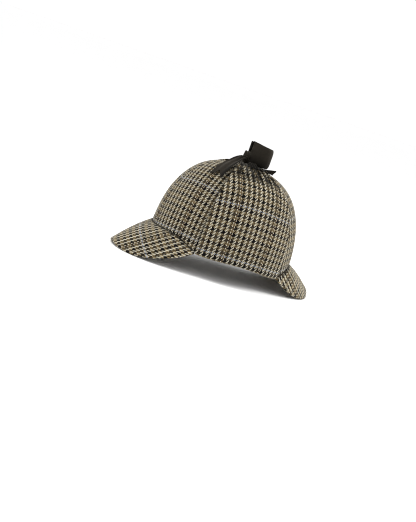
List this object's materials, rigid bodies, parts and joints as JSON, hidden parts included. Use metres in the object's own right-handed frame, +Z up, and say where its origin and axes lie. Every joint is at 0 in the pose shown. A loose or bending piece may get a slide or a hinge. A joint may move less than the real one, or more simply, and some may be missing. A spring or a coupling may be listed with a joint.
{
  "type": "deerstalker hat",
  "caption": "Tweed deerstalker hat with front and rear peaks and ear flaps folded up and tied over the crown with a ribbon bow.",
  "frame": {"origin": "middle of the footprint, on the surface that the two peaks rest on", "axes": "-Y out of the front peak, +X to the wearer's left, +Z up out of the crown"},
  "size_m": [0.1672, 0.2924, 0.1833],
  "materials": {
    "crown_front_left": "matt woven tweed in a small check",
    "crown_front_right": "matt woven tweed in a small check",
    "crown_side_left": "matt woven tweed in a small check",
    "crown_side_right": "matt woven tweed in a small check",
    "crown_rear_left": "matt woven tweed in a small check",
    "crown_rear_right": "matt woven tweed in a small check",
    "front_peak": "matt woven tweed in a small check, stiffened",
    "rear_peak": "matt woven tweed in a small check, stiffened",
    "ear_flap_left": "matt woven tweed in a small check",
    "ear_flap_right": "matt woven tweed in a small check",
    "tie_left": "dark ribbed ribbon",
    "tie_right": "dark ribbed ribbon",
    "bow_knot": "dark ribbed ribbon",
    "bow_loop_rear": "dark ribbed ribbon",
    "bow_loop_far": "dark ribbed ribbon",
    "bow_tail_front": "dark ribbed ribbon",
    "bow_tail_rear": "dark ribbed ribbon"
  },
  "bodies": {
    "root": {"crown_front_left": "crown_front_left", "crown_front_right": "crown_front_right", "crown_side_left": "crown_side_left", "crown_side_right": "crown_side_right", "crown_rear_left": "crown_rear_left", "crown_rear_right": "crown_rear_right", "front_peak": "front_peak", "rear_peak": "rear_peak", "ear_flap_left": "ear_flap_left", "ear_flap_right": "ear_flap_right", "tie_left": "tie_left", "tie_right": "tie_right", "bow_knot": "bow_knot", "bow_loop_rear": "bow_loop_rear", "bow_loop_far": "bow_loop_far", "bow_tail_front": "bow_tail_front", "bow_tail_rear": "bow_tail_rear"}
  },
  "joints": []
}
